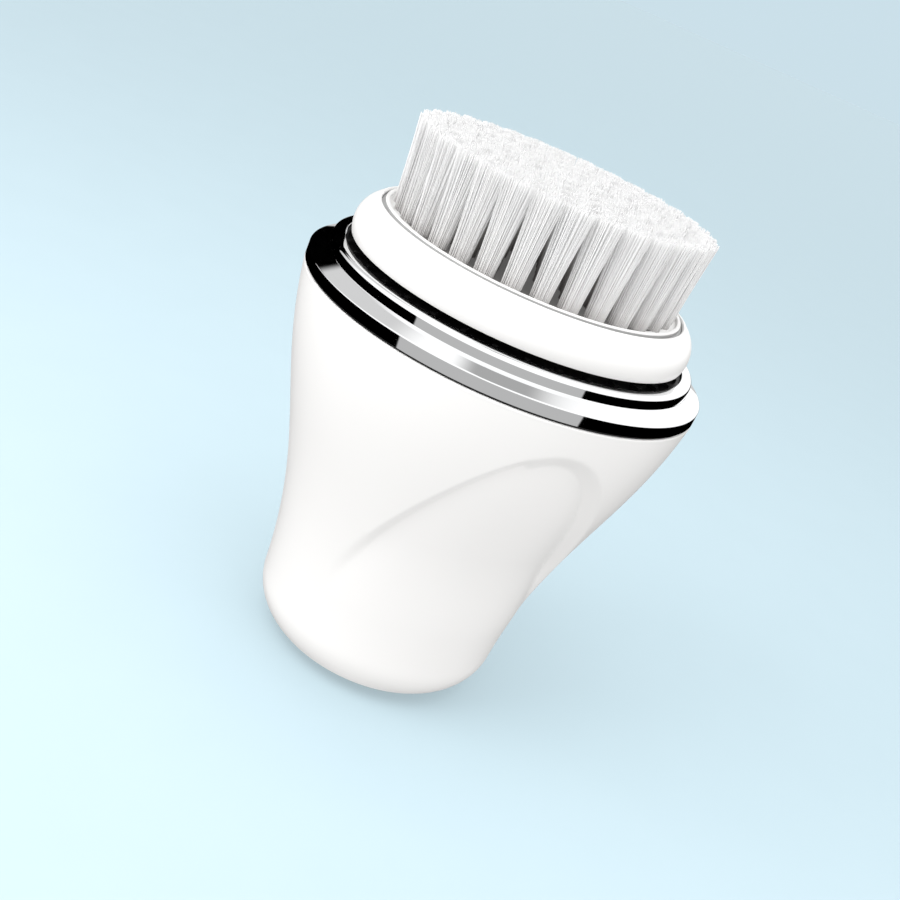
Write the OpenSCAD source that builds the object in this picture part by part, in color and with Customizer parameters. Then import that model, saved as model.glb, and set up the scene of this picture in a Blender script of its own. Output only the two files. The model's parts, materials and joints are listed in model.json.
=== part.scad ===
// Palm-sized facial cleansing brush with a pull-off turning head.
// The foot stands on z = 0, the turning axis is +Z, and the button side faces +Y.

/* [Body] */
// Height of the white body, from its foot to its upper rim
body_h = 57.35; // [56:0.05:70]
// Radius of the body at its upper rim
rim_r = 31; // [30:0.1:38]
// Radius of the body just above its foot
foot_r = 19.9; // [19.5:0.1:24]
// Radius of the rounded edge of the foot
foot_round = 7.5; // [6:0.1:9]
// Wall thickness of the body
wall_t = 2.2; // [1.9:0.1:2.7]
// Outward lean of the flank at the foot
lower_lean = 1.3; // [0.5:0.1:2]
// Height over which the flank keeps the direction it leaves the foot with
lower_pull = 23.5; // [18:0.5:28]
// Inward lean of the flank at the rim
upper_lean = 2.1; // [1:0.1:3]
// Height over which the flank keeps the direction it meets the rim with
upper_pull = 18.2; // [14:0.1:22]

/* [Grip hollows] */
// Distance from the rim down to the top of the arch
grip_drop = 4.6; // [4:0.1:10]
// Half width of the arch at its foot
grip_half_w = 17.2; // [12:0.1:18]
// Height at which the hollow runs out
grip_low_z = 15; // [12:0.5:20]
// Depth of the hollow under the arch
grip_depth = 1; // [0.5:0.05:1.2]

/* [Collar] */
// Thickness of the dark gasket under the collar
gasket_t = 0.35; // [0.3:0.05:0.5]
// Height of the collar's wide band
band_h = 1.7; // [1.4:0.1:2.2]
// Radius of the collar's upper band
step_r = 28.4; // [27.9:0.1:30]
// Height of the upper band's foot above the wide band
ledge_rise = 1.1; // [0.8:0.1:1.5]
// Height of the upper band with its rounded edge
step_h = 1.9; // [1.6:0.1:2.4]
// Radius of the upper band's rounded edge
step_round = 0.7; // [0.4:0.1:0.9]
// Inner radius of the seat that the splash deck lies in
deck_seat_r = 26.6; // [26.5:0.1:27]
// Inner radius of the body's upstand
upstand_r = 25.6; // [25.5:0.1:25.8]
// Wall thickness of the upstand
upstand_t = 1.4; // [1:0.1:1.6]
// Height of the upstand above the rim
upstand_h = 2.1; // [1.8:0.1:2.3]

/* [Brush head] */
// Air gap between the collar and the head
head_gap = 0.9; // [0.7:0.1:1.5]
// Widest radius of the head
head_r = 26.4; // [26:0.1:30]
// Height of the head's domed skirt
skirt_h = 5.6; // [5:0.1:7]
// Radius of the skirt's bulge
bulge_r = 6.5; // [5.5:0.1:9]
// Height of the widest place above the skirt's lower edge
bulge_z = 2; // [1.5:0.1:2.5]
// Wall thickness of the skirt
skirt_t = 1.4; // [1.2:0.1:1.6]
// Thickness of the head's floor
head_floor_t = 1.6; // [1.4:0.1:2]
// Radius of the tuft plate
plate_r = 24.3; // [23.8:0.1:24.4]
// Thickness of the tuft plate
plate_t = 2.7; // [2.5:0.1:3.2]
// Height of the lip around the tuft plate
lip_h = 0.5; // [0.3:0.1:0.8]
// Width of the lip
lip_w = 1.1; // [0.8:0.1:1.4]

/* [Tufts] */
// Free length of the tufts
tuft_h = 12.9; // [9:0.1:16]
// Radius of a tuft at the plate
tuft_foot_r = 1.3; // [1:0.05:1.4]
// Radius of a tuft at its tip
tuft_tip_r = 1.75; // [1.4:0.05:1.85]
// Radius of the outer row
row_r = 20.5; // [18:0.1:20.8]
// Distance between rows
row_pitch = 4.15; // [3.9:0.05:4.3]
// Tufts in the outer row
row_count = 32; // [24:1:32]

/* [Gear train] */
// Tooth module
gear_module = 0.5; // [0.45:0.05:0.55]
// Teeth of the motor pinion and of the idler's small gear
small_teeth = 10; // [10:1:11]
// Teeth of the idler's large gear and of the output gear
large_teeth = 36; // [34:2:36]
// Face width of the gears
gear_w = 2.6; // [2:0.1:3]
// Tooth play
backlash = 0.12; // [0.08:0.02:0.2]
// Radius of the output shaft
shaft_r = 2.5; // [2:0.1:3]
// Radius of the idler's axle
axle_r = 0.8; // [0.6:0.1:1]
// Width across the flats of the drive spigot
spigot_af = 4.2; // [3.4:0.1:4.8]
// Length of the drive spigot
spigot_h = 4.5; // [4:0.1:5]

/* [Motor and battery] */
// Radius of the motor can
motor_r = 10; // [9:0.1:11]
// Distance across the flats of the motor can
motor_af = 15.2; // [14:0.1:16]
// Length of the motor
motor_l = 25; // [22:0.5:28]
// Radius of the motor shaft
motor_shaft_r = 1; // [0.8:0.05:1.2]
// Length of the battery
cell_l = 24; // [20:0.5:25]
// Width of the battery
cell_w = 18; // [15:0.5:18]
// Thickness of the battery
cell_t = 8; // [6:0.5:9]

/* [Button and port] */
// Height of the button's middle
button_z = 36; // [33:0.5:38]
// Radius of the button
button_r = 4.5; // [3.5:0.1:5]
// Travel of the button
button_travel = 0.5; // [0.3:0.05:0.5]
// Height of the charging port's middle
port_z = 14; // [14:0.5:16]
// Width of the port cover
cover_w = 12; // [11:0.1:13]
// Height of the port cover
cover_h = 7; // [6.4:0.1:7.4]

/* [Clearances] */
// Radial clearance of a running shaft
run_gap = 0.05; // [0.03:0.01:0.1]
// Clearance between pieces that are fitted together
fit_gap = 0.1; // [0.05:0.05:0.2]
// Clearance around pieces that travel
move_gap = 0.2; // [0.15:0.05:0.3]

/* [Hidden] */
$fn = 96;

// Levels, from the rim upwards
collar_z = body_h + gasket_t;
ledge_z = collar_z + band_h;
step_z = ledge_z + ledge_rise;
collar_top = step_z + step_h;
deck_t = 0.8;
deck_top = collar_top - 0.4;
deck_z = deck_top - deck_t;
head_z = collar_top + head_gap;
skirt_top = head_z + skirt_h;
floor_z = head_z + 1.1;
plate_z = floor_z + head_floor_t;
plate_top = plate_z + plate_t;

// Levels, from the rim downwards
rim_flange_t = 2.2;
ceiling_z = body_h - rim_flange_t;
cover_top_t = 1.6;
cover_top = deck_z - 4.6;
cover_ceiling = cover_top - cover_top_t;
out_gear_z = cover_ceiling - 1.2 - gear_w;
idler_z = out_gear_z - 0.8 - gear_w;
chassis_t = 2;
chassis_top = idler_z - 0.6;
chassis_z = chassis_top - chassis_t;
motor_z = chassis_z - motor_l;
can_floor_z = motor_z + 2.2;

// Gears
centre_d = gear_module * (small_teeth + large_teeth) / 2;
large_r = gear_module * large_teeth / 2 + 0.8 * gear_module;
gearbox_in_r = large_r + 1;
gearbox_wall = 1.5;
gearbox_r = gearbox_in_r + gearbox_wall;

// Flank of the body: one curve from the foot's rounding to the rim
flank_steps = 18;
function curve(t, a, b, c, d) =
    pow(1 - t, 3) * a + 3 * pow(1 - t, 2) * t * b + 3 * (1 - t) * t * t * c + pow(t, 3) * d;
flank = [for (i = [0:flank_steps]) curve(i / flank_steps,
    [foot_r, foot_round],
    [foot_r + lower_lean, foot_round + lower_pull],
    [rim_r - upper_lean, body_h - upper_pull],
    [rim_r, body_h])];
function foot_arc(r) = [for (a = [0:12.5:75])
    [foot_r - foot_round + r * sin(a), foot_round - r * cos(a)]];

// Screw places
chassis_boss_r = 22;
chassis_angles = [60, 180, 300];
deck_screw_r = 9;
cover_ear_out = gearbox_r + 2.1;
cover_ears = [[-cover_ear_out, 0], [centre_d / 2, cover_ear_out], [centre_d / 2, -cover_ear_out]];
motor_screw_y = 5.5;

// Frame, board and battery
frame_z = wall_t + 2.1;
tray_t = 1.2;
cell_z = frame_z + tray_t;
back_y = cell_w / 2 + 0.4;
back_t = 1.6;
back_w = 20;
board_y = back_y + back_t + 1;
board_t = 1.2;
board_w = 16;
board_z = port_z - 5.5;
board_top = chassis_z - 2.5;
board_face = board_y + board_t;
board_holes = [[5.5, board_top - 2.2], [-5.5, board_z + 1.8]];
switch_top = board_face + 4;
led_z = button_z - 9;
socket_w = 9;
socket_h = 3.2;
socket_front = foot_r - 1.9;
lead_r = 0.5;
lead_bend = 1.2;
motor_lead_z = motor_z - 3.6;
cell_lead_z = cell_z + cell_t + 1.4;
rotor_gap = 0.4;

// Colours
shell_white = [0.96, 0.96, 0.95];
chrome = [0.78, 0.79, 0.80];
dark = [0.08, 0.08, 0.09];
steel = [0.62, 0.63, 0.65];
nylon = [0.90, 0.91, 0.93];
pom = [0.85, 0.85, 0.80];
brass = [0.80, 0.65, 0.32];
copper = [0.72, 0.42, 0.22];

// ---- Shared shapes ----

// The body's outer shape from the foot's rounding up, moved outwards by d
module flank_solid(d = 0) {
    rotate_extrude() polygon(concat(
        [[0, foot_round]], [for (p = flank) [p[0] + d, p[1]]], [[0, body_h]]));
}

// A cylinder that lies along +Y
module along_y(r, y0, y1, x = 0, z = 0) {
    translate([x, y0, z]) rotate([-90, 0, 0]) cylinder(r = r, h = y1 - y0);
}

// A ring that stands on z0
module ring(r_out, r_in, z0, z1) {
    translate([0, 0, z0]) difference() {
        cylinder(r = r_out, h = z1 - z0);
        translate([0, 0, -1]) cylinder(r = r_in, h = z1 - z0 + 2);
    }
}

// A block with round ends that lies along +Y
module slot_y(w, h, y0, y1, z) {
    reach = (w - h) / 2;
    for (x = [-reach, reach]) along_y(h / 2, y0, y1, x, z);
    translate([-reach, y0, z - h / 2]) cube([2 * reach, y1 - y0, h]);
}

// A screw whose shank reaches down from z: head above, shank below
module screw(z, shank_r, shank_l, head_r, head_h) {
    translate([0, 0, z - shank_l]) cylinder(r = shank_r, h = shank_l + head_h / 2);
    difference() {
        translate([0, 0, z]) cylinder(r = head_r, h = head_h);
        for (a = [0, 90]) rotate([0, 0, a])
            translate([-head_r * 0.6, -0.15, z + head_h * 0.55]) cube([head_r * 1.2, 0.3, head_h]);
    }
}

// Involute tooth outline, a little short and thin so that meshing teeth never touch
function involute(r, base) = sqrt(pow(r / base, 2) - 1) * 180 / PI - acos(base / r);
function polar(r, a) = [r * cos(a), r * sin(a)];
flank_points = 4;
module gear(teeth, z0, w, phase, bore) {
    pitch = gear_module * teeth / 2;
    base = pitch * cos(20);
    tip = pitch + 0.8 * gear_module;
    root = pitch - 1.2 * gear_module;
    start = max(base, root);
    half = (PI * gear_module / 2 - backlash) / 2 / pitch * 180 / PI + involute(pitch, base);
    radii = [for (i = [0:flank_points]) start + (tip - start) * i / flank_points];
    outline = [for (t = [0:teeth - 1]) let (c = phase + 360 / teeth * t) each concat(
        [polar(root - 0.01, c - half)],
        [for (r = radii) polar(r, c - half + involute(r, base))],
        [for (i = [flank_points:-1:0]) polar(radii[i], c + half - involute(radii[i], base))],
        [polar(root - 0.01, c + half)])];
    translate([0, 0, z0]) difference() {
        linear_extrude(height = w) polygon(outline);
        translate([0, 0, -1]) cylinder(r = bore, h = w + 2);
    }
}

// ---- Body ----

module grip_cut() {
    span = body_h - grip_drop - grip_low_z;
    difference() {
        translate([0, 0, grip_low_z]) rotate([90, 0, 90]) linear_extrude(height = rim_r + 5)
            polygon([for (a = [0:6:180]) [grip_half_w * cos(a), span * sin(a)]]);
        rotate_extrude() polygon(concat([[0, foot_round]],
            [for (p = flank) [p[0] - grip_inset(p[1], span), p[1]]], [[0, body_h]]));
    }
}
// Depth of the hollow at height z: it deepens evenly over the arch's lower half
function grip_inset(z, span) = grip_depth * min(1, 2 * (z - grip_low_z) / span) - 0.02;

module body_cavity() {
    intersection() {
        rotate_extrude() polygon(concat([[0, wall_t]], foot_arc(foot_round - wall_t),
            [for (p = flank) [p[0] - wall_t, p[1]]], [[0, body_h]]));
        cylinder(r = rim_r + 1, h = ceiling_z);
    }
    translate([0, 0, ceiling_z - 1]) cylinder(r = upstand_r, h = rim_flange_t + upstand_h + 2);
}

module chassis_bosses() {
    intersection() {
        for (a = chassis_angles) rotate([0, 0, a]) {
            translate([chassis_boss_r, 0, chassis_z - 12]) cylinder(r = 2.75, h = 12);
            translate([chassis_boss_r, -1, chassis_z - 12]) cube([8, 2, 12]);
        }
        flank_solid(-0.6);
    }
}

module body_shell() {
    color(shell_white) difference() {
        union() {
            difference() {
                union() {
                    rotate_extrude() polygon(concat([[0, 0]], foot_arc(foot_round), flank, [[0, body_h]]));
                    translate([0, 0, body_h - 0.5])
                        cylinder(r = upstand_r + upstand_t, h = upstand_h + 0.5);
                }
                body_cavity();
                for (a = [0, 180]) rotate([0, 0, a]) grip_cut();
            }
            chassis_bosses();
            ring(10, 8.6, wall_t - 0.5, frame_z);
        }
        for (a = chassis_angles) rotate([0, 0, a])
            translate([chassis_boss_r, 0, chassis_z - 9]) cylinder(r = 0.9, h = 10);
        // Button hole and the seat of its ring
        along_y(button_r + move_gap, 12, rim_r + 5, 0, button_z);
        difference() {
            along_y(button_r + 1.5, 12, rim_r + 5, 0, button_z);
            flank_solid(-0.8);
        }
        // Light pipe hole
        along_y(1, 12, rim_r + 5, 0, led_z);
        // Charging port and the recess of its cover
        slot_y(socket_w + 0.8, socket_h + 0.8, 15, rim_r + 5, port_z);
        difference() {
            translate([-cover_w / 2, 12, port_z - cover_h / 2]) cube([cover_w, rim_r, cover_h]);
            flank_solid(-1.4);
        }
    }
}

module seam_gasket() { color(dark) ring(rim_r - 0.35, upstand_r + upstand_t + fit_gap, body_h, collar_z); }

module chrome_collar() {
    in_r = upstand_r + upstand_t + fit_gap;
    seat_z = body_h + upstand_h + fit_gap;
    edge = [for (a = [0:15:90])
        [step_r - step_round + step_round * cos(a), collar_top - step_round + step_round * sin(a)]];
    color(chrome) rotate_extrude() polygon(concat(
        [[in_r, collar_z], [rim_r, collar_z], [rim_r, ledge_z - 0.3], [rim_r - 0.25, ledge_z],
         [step_r + 0.2, step_z - 0.15], [step_r, step_z]],
        edge,
        [[deck_seat_r, collar_top], [deck_seat_r, deck_z], [upstand_r - 0.1, deck_z],
         [upstand_r - 0.1, seat_z], [in_r, seat_z]]));
}

// ---- Splash deck ----

rib_count = 36;
plug_r = upstand_r - 0.1 - fit_gap;
o_ring_r = 0.4;
o_ring_mid_r = upstand_r - 0.02 - o_ring_r;
o_ring_z = body_h + 1.6;
module top_deck() {
    color(dark) difference() {
        union() {
            translate([0, 0, deck_z]) cylinder(r = deck_seat_r - fit_gap, h = deck_t);
            ring(plug_r, plug_r - 1.4, body_h + 0.9, deck_z + 0.1);
            for (a = chassis_angles) rotate([0, 0, a])
                translate([deck_screw_r, 0, deck_z - 0.8]) cylinder(r = 2.2, h = 0.9);
            for (i = [0:rib_count - 1]) rotate([0, 0, i * 360 / rib_count])
                translate([deck_seat_r - 2, -0.35, deck_top - 0.1]) cube([1.5, 0.7, 0.6]);
        }
        translate([0, 0, deck_z - 1]) cylinder(r = shaft_r + 2.1, h = deck_t + 2);
        for (a = chassis_angles) rotate([0, 0, a]) translate([deck_screw_r, 0, 0]) {
            translate([0, 0, deck_z - 1]) cylinder(r = 1, h = deck_t + 2);
            translate([0, 0, deck_z - 0.2]) cylinder(r = 1.8, h = deck_t + 1);
        }
        rotate_extrude() translate([o_ring_mid_r, o_ring_z]) circle(r = o_ring_r + 0.08);
    }
}

module deck_o_ring() {
    color(dark) rotate_extrude() translate([o_ring_mid_r, o_ring_z]) circle(r = o_ring_r);
}

module shaft_seal() { color(dark) ring(shaft_r + 2.1, shaft_r + 0.08, deck_z, deck_top + 0.2); }

module deck_screws() {
    color(steel) for (a = chassis_angles) rotate([0, 0, a])
        translate([deck_screw_r, 0, 0]) screw(deck_z - 0.2, 0.9, 4, 1.7, 0.9);
}

// ---- Gearbox ----

module gearbox_outline(r, z0, z1) {
    translate([0, 0, z0]) {
        cylinder(r = r, h = z1 - z0);
        translate([centre_d, 0, 0]) cylinder(r = r, h = z1 - z0);
        translate([0, -r, 0]) cube([centre_d, 2 * r, z1 - z0]);
    }
}

module gearbox_plate() {
    color(pom) difference() {
        union() {
            gearbox_outline(gearbox_r, chassis_z, chassis_top);
            for (e = cover_ears) translate([e[0], e[1], chassis_z]) cylinder(r = 2.6, h = chassis_t);
            for (e = cover_ears) translate([e[0], e[1], chassis_z - 2]) cylinder(r = 1.9, h = 3);
            for (a = chassis_angles) rotate([0, 0, a]) {
                translate([6, -3, chassis_z]) cube([chassis_boss_r - 6, 6, chassis_t]);
                translate([chassis_boss_r, 0, chassis_z]) cylinder(r = 3, h = chassis_t);
            }
        }
        translate([0, 0, chassis_z - 1]) cylinder(r = 3 + fit_gap, h = chassis_t + 2);
        for (s = [-1, 1]) translate([0, s * motor_screw_y, chassis_z - 1]) cylinder(r = 1, h = chassis_t + 2);
        translate([centre_d, 0, chassis_z + 0.6]) cylinder(r = axle_r, h = chassis_t);
        for (e = cover_ears) translate([e[0], e[1], chassis_z - 3]) cylinder(r = 0.8, h = chassis_t + 4);
        for (a = chassis_angles) rotate([0, 0, a])
            translate([chassis_boss_r, 0, chassis_z - 1]) cylinder(r = 1.15, h = chassis_t + 2);
    }
}

module chassis_screws() {
    color(steel) for (a = chassis_angles) rotate([0, 0, a])
        translate([chassis_boss_r, 0, 0]) screw(chassis_top, 0.9, 8, 2, 1.2);
}

module gearbox_cover() {
    boss_top = deck_z - 1.8;
    color(pom) difference() {
        union() {
            gearbox_outline(gearbox_r, chassis_top, cover_top);
            for (e = cover_ears) translate([e[0], e[1], chassis_top]) cylinder(r = 2.4, h = 2);
            translate([0, 0, cover_top - 0.5]) cylinder(r = shaft_r + 3.1, h = boss_top - cover_top + 0.5);
            for (a = chassis_angles) rotate([0, 0, a])
                translate([deck_screw_r, 0, cover_top - 0.5])
                    cylinder(r = 2.2, h = deck_z - 0.8 - cover_top + 0.5);
        }
        gearbox_outline(gearbox_in_r, chassis_top - 1, cover_ceiling);
        translate([0, 0, cover_ceiling - 1]) cylinder(r = shaft_r + 1.5, h = boss_top - cover_ceiling + 2);
        translate([centre_d, 0, cover_ceiling - 1]) cylinder(r = axle_r, h = 2);
        for (e = cover_ears) translate([e[0], e[1], chassis_top - 1]) cylinder(r = 1, h = 4);
        for (a = chassis_angles) rotate([0, 0, a])
            translate([deck_screw_r, 0, cover_top]) cylinder(r = 0.9, h = 5);
    }
}

module cover_screws() {
    color(steel) for (e = cover_ears) translate([e[0], e[1], 0]) screw(chassis_top + 2, 0.8, 5, 1.6, 1.1);
}

module output_bush() {
    color(brass) difference() {
        union() {
            translate([0, 0, cover_ceiling]) cylinder(r = shaft_r + 1.5, h = deck_z - 1.8 - cover_ceiling);
            translate([0, 0, deck_z - 1.8]) cylinder(r = shaft_r + 2.3, h = 0.6);
        }
        translate([0, 0, cover_ceiling - 1]) cylinder(r = shaft_r + run_gap, h = 8);
    }
}

module idler_axle() {
    color(steel) translate([centre_d, 0, chassis_z + 0.6])
        cylinder(r = axle_r, h = cover_ceiling + 1 - chassis_z - 0.6);
}

module idler_gear() {
    bore = axle_r + run_gap;
    half_pitch = 180 / large_teeth;
    small_turn = 180 / small_teeth * (small_teeth % 2);
    small_h = out_gear_z - idler_z + 0.5;
    color(pom) translate([centre_d, 0, 0]) {
        gear(large_teeth, idler_z, gear_w, half_pitch, bore);
        gear(small_teeth, idler_z + gear_w - 0.1, small_h, small_turn, bore);
    }
}

module output_gear() {
    color(pom) {
        gear(large_teeth, out_gear_z, gear_w, 180 / large_teeth, shaft_r);
        ring(shaft_r + 1.6, shaft_r, out_gear_z + gear_w - 0.1, cover_ceiling - fit_gap);
    }
}

clip_z = deck_z - 1.14;
module output_shaft() {
    color(steel) difference() {
        union() {
            translate([0, 0, out_gear_z]) cylinder(r = shaft_r, h = deck_top + 0.5 - out_gear_z);
            translate([0, 0, deck_top]) cylinder(r = spigot_af / sqrt(3), h = spigot_h + 0.5, $fn = 6);
        }
        ring(shaft_r + 1, shaft_r - 0.4, clip_z - 0.02, clip_z + 0.62);
    }
}

module shaft_clip() {
    color(steel) difference() {
        ring(shaft_r + 1.1, shaft_r - 0.37, clip_z, clip_z + 0.6);
        translate([0, -1.2, clip_z - 1]) cube([shaft_r + 3, 2.4, 3]);
    }
}

// ---- Motor ----

module can_section(r, af, z0, z1) {
    intersection() {
        translate([0, 0, z0]) cylinder(r = r, h = z1 - z0);
        translate([-r - 1, -af / 2, z0 - 1]) cube([2 * r + 2, af, z1 - z0 + 2]);
    }
}

module motor_can() {
    color(steel) difference() {
        union() {
            can_section(motor_r, motor_af, can_floor_z, chassis_z);
            translate([0, 0, chassis_z - 0.2]) cylinder(r = 3, h = 1.6);
        }
        can_section(motor_r - 0.6, motor_af - 1.2, can_floor_z - 1, chassis_z - 0.8);
        translate([0, 0, chassis_z - 2]) cylinder(r = motor_shaft_r + run_gap, h = 5);
        for (s = [-1, 1]) translate([0, s * motor_screw_y, chassis_z - 2]) cylinder(r = 0.9, h = 3);
    }
}

magnet_r = motor_af / 2 - 0.6 - fit_gap;
module motor_magnets() {
    color(dark) for (s = [-1, 1]) intersection() {
        difference() {
            can_section(motor_r - 0.6 - fit_gap, motor_af - 1.4, can_floor_z + 3, chassis_z - 4);
            translate([0, 0, motor_z]) cylinder(r = magnet_r - 1, h = motor_l);
        }
        translate([s * (magnet_r - 1) - (s < 0 ? motor_r : 0), -motor_r, motor_z])
            cube([motor_r, 2 * motor_r, motor_l]);
    }
}

module motor_rotor() {
    r = magnet_r - 1 - rotor_gap;
    slot_w = 1;
    z0 = can_floor_z + 5;
    z1 = chassis_z - 6;
    color(copper) difference() {
        translate([0, 0, z0]) cylinder(r = r, h = z1 - z0);
        translate([0, 0, z0 - 1]) cylinder(r = motor_shaft_r, h = z1 - z0 + 2);
        for (a = [0, 120, 240]) rotate([0, 0, a])
            translate([r - 1.6, -slot_w / 2, z0 - 1]) cube([3, slot_w, z1 - z0 + 2]);
    }
}

module motor_commutator() { color(brass) ring(2, motor_shaft_r, can_floor_z + 0.8, can_floor_z + 4.4); }

module motor_end_cap() {
    color(nylon) difference() {
        union() {
            can_section(motor_r, motor_af, motor_z, can_floor_z);
            translate([0, 0, motor_z - 1]) cylinder(r = 3, h = 1.2);
        }
        translate([0, 0, motor_z - 2]) cylinder(r = motor_shaft_r + run_gap, h = 6);
        for (s = [-1, 1]) translate([s * 6.5 - 0.8, -0.25, motor_z - 1]) cube([1.6, 0.5, 2]);
    }
}

module motor_terminals() {
    color(brass) for (s = [-1, 1]) translate([s * 6.5 - 0.8, -0.25, motor_z - 2.1]) cube([1.6, 0.5, 3.1]);
}

module motor_screws() {
    color(steel) for (s = [-1, 1]) translate([0, s * motor_screw_y, 0]) screw(chassis_top, 0.9, 3, 1.7, 0.9);
}

module motor_shaft() {
    color(steel) translate([0, 0, motor_z - 0.8])
        cylinder(r = motor_shaft_r, h = idler_z + gear_w - motor_z + 0.8);
}

module motor_pinion() { color(brass) gear(small_teeth, idler_z, gear_w, 0, motor_shaft_r); }

// ---- Frame, battery and board ----

module inner_frame() {
    out_l = cell_l + 2 * (fit_gap + tray_t);
    out_w = cell_w + 2 * fit_gap;
    color(pom) difference() {
        union() {
            intersection() {
                translate([-out_l / 2, -out_w / 2 - tray_t, frame_z])
                    cube([out_l, out_w / 2 + tray_t + back_y + back_t, 5]);
                cylinder(r = foot_r - wall_t - 1.8, h = body_h);
            }
            translate([-back_w / 2, back_y, frame_z]) cube([back_w, back_t, chassis_z - frame_z]);
            for (h = board_holes) along_y(1.8, back_y, board_y, h[0], h[1]);
        }
        translate([-cell_l / 2 - fit_gap, -out_w / 2, cell_z]) cube([cell_l + 2 * fit_gap, out_w, 20]);
        translate([-8.5, back_y - 1, cell_z + cell_t + 0.4])
            cube([17, back_t + 2, motor_lead_z - cell_z - cell_t + 0.6]);
        for (h = board_holes) along_y(0.7, back_y + 0.4, board_y + 1, h[0], h[1]);
    }
}

module battery_cell() {
    color([0.35, 0.45, 0.62]) {
        translate([-cell_l / 2, -cell_w / 2 + 0.8, cell_z]) cube([cell_l, cell_w - 1.6, cell_t]);
        for (s = [-1, 1]) translate([-cell_l / 2, s * (cell_w / 2 - 0.8) - 0.8, cell_z + 0.8])
            cube([cell_l, 1.6, cell_t - 1.6]);
    }
}

// A lead that leaves (x, y0, z0) along Z, turns once and runs along +Y at height z1 to y1
module lead(x, y0, z0, z1, y1) {
    up = z1 > z0 ? 1 : -1;
    turn_z = z1 - up * lead_bend;
    translate([x, y0, min(z0, turn_z)]) cylinder(r = lead_r, h = abs(turn_z - z0));
    translate([x, y0 + lead_bend, turn_z]) rotate([0, 90, 0]) rotate([0, 0, up > 0 ? 180 : 270])
        rotate_extrude(angle = 90) translate([lead_bend, 0]) circle(r = lead_r, $fn = 24);
    along_y(lead_r, y0 + lead_bend, y1, x, z1);
}

module motor_leads() {
    color([0.75, 0.12, 0.12]) for (s = [-1, 1]) lead(s * 6.5, 0, motor_z - 2.1, motor_lead_z, board_y);
}

module battery_leads() {
    color([0.12, 0.12, 0.12]) for (s = [-1, 1])
        lead(s * 3, cell_w / 2 - 2, cell_z + cell_t, cell_lead_z, board_y);
}

module circuit_board() {
    color([0.10, 0.35, 0.20]) difference() {
        translate([-board_w / 2, board_y, board_z]) cube([board_w, board_t, board_top - board_z]);
        for (h = board_holes) along_y(0.9, board_y - 1, board_face + 1, h[0], h[1]);
    }
}

module board_chips() {
    color(dark) {
        translate([-6.5, board_face, port_z + 5]) cube([5, 1, 5]);
        translate([2, board_face, port_z + 5.5]) cube([4, 1.6, 3]);
        translate([-6.5, board_face, led_z + 1]) cube([3, 0.9, 1.6]);
        translate([4.2, board_face, led_z - 1]) cube([2.2, 0.8, 1.2]);
    }
}

module tact_switch() {
    color(dark) {
        translate([-3, board_face, button_z - 3]) cube([6, 3.2, 6]);
        along_y(1.6, board_face + 3, switch_top, 0, button_z);
    }
}

module status_led() { color([0.9, 0.95, 1]) translate([-1, board_face, led_z - 0.8]) cube([2, 1.2, 1.6]); }

module board_screws() {
    color(steel) for (h = board_holes) {
        along_y(0.7, back_y + 0.4, board_face + 0.2, h[0], h[1]);
        along_y(1.5, board_face, board_face + 0.9, h[0], h[1]);
    }
}

module charging_socket() {
    color(steel) difference() {
        slot_y(socket_w, socket_h, board_face, socket_front, port_z);
        slot_y(socket_w - 0.8, socket_h - 0.8, board_face + 1.2, socket_front + 1, port_z);
    }
    color(dark) translate([-3, board_face + 1, port_z - 0.35]) cube([6, socket_front - board_face - 2, 0.7]);
}

module light_pipe() {
    color([0.92, 0.95, 0.97]) intersection() {
        along_y(1, board_face + 1.5, rim_r, 0, led_z);
        flank_solid(0);
    }
}

// ---- Button and port cover ----

module button_ring() {
    color(chrome) intersection() {
        difference() {
            along_y(button_r + 1.5, 12, rim_r + 5, 0, button_z);
            along_y(button_r + move_gap, 11, rim_r + 6, 0, button_z);
        }
        difference() {
            flank_solid(0.25);
            flank_solid(-0.8);
        }
    }
}

module power_button() {
    back = wall_t + 0.5;
    color(shell_white) {
        intersection() {
            along_y(button_r, 12, rim_r + 5, 0, button_z);
            difference() {
                flank_solid(0.6);
                flank_solid(-back - 1);
            }
        }
        intersection() {
            along_y(button_r + 1, 12, rim_r + 5, 0, button_z);
            difference() {
                flank_solid(-back);
                flank_solid(-back - 1);
            }
        }
        intersection() {
            along_y(1.5, switch_top + button_travel + 0.1, rim_r, 0, button_z);
            flank_solid(-back - 0.5);
        }
    }
}

cover_low_z = port_z - cover_h / 2 + 0.1;
module port_cover() {
    w = cover_w - 2 * move_gap;
    color(shell_white) {
        intersection() {
            translate([-w / 2, 12, cover_low_z]) cube([w, rim_r, cover_h - 0.6]);
            difference() {
                flank_solid(0);
                flank_solid(-1.25);
            }
        }
        translate([-socket_w / 2 + 1, socket_front - 0.3, port_z - 0.8]) cube([socket_w - 2, 1.6, 1.6]);
    }
}

// ---- Brush head ----

// Outer outline of the skirt: one arc about the bulge
function skirt_arc(d) = [for (i = [0:8]) let (z = -bulge_z + skirt_h * i / 8)
    [head_r - d - bulge_r + sqrt(pow(bulge_r, 2) - z * z), head_z + bulge_z + z]];

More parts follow.
